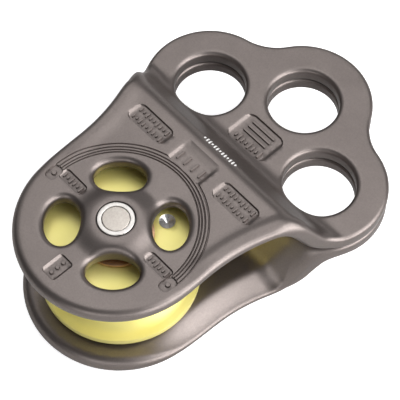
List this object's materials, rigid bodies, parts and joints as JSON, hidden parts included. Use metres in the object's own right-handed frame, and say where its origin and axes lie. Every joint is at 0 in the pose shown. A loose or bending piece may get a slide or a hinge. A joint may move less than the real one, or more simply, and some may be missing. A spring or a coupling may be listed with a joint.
{
  "type": "rope pulley",
  "caption": "Rope pulley with two swinging forged cheek plates, a grooved sheave on a plain bush and a row of karabiner holes at one end.",
  "frame": {"origin": "centre of the axle's lower end face, with the pulley lying on its side", "axes": "+Z along the axle, up; +X along the cheeks, from the axle to the karabiner holes"},
  "size_m": [0.0998, 0.0708, 0.0332],
  "materials": {
    "cheek_anodised": "satin grey hard anodised forging",
    "sheave_anodised": "satin yellow anodised, turned",
    "bronze": "machined bearing bronze",
    "collar_steel": "polished stainless steel",
    "pin_steel": "matt, peened stainless steel"
  },
  "bodies": {
    "frame": {"lower_cheek": "cheek_anodised", "axle_pin": "pin_steel", "lower_axle_collar": "collar_steel", "upper_axle_collar": "collar_steel", "axle_spacer": "collar_steel", "lower_thrust_washer": "bronze", "upper_thrust_washer": "bronze"},
    "swing_cheek": {"upper_cheek": "cheek_anodised"},
    "sheave": {"sheave": "sheave_anodised", "sheave_bush": "bronze"}
  },
  "joints": [
    {"name": "cheek_swing", "type": "hinge", "parent": "frame", "child": "swing_cheek", "pos_m": [0, 0, 0.0166], "axis": [0, 0, 1], "continuous": true},
    {"name": "sheave_spin", "type": "hinge", "parent": "frame", "child": "sheave", "pos_m": [0, 0, 0.0166], "axis": [0, 0, 1], "continuous": true}
  ]
}
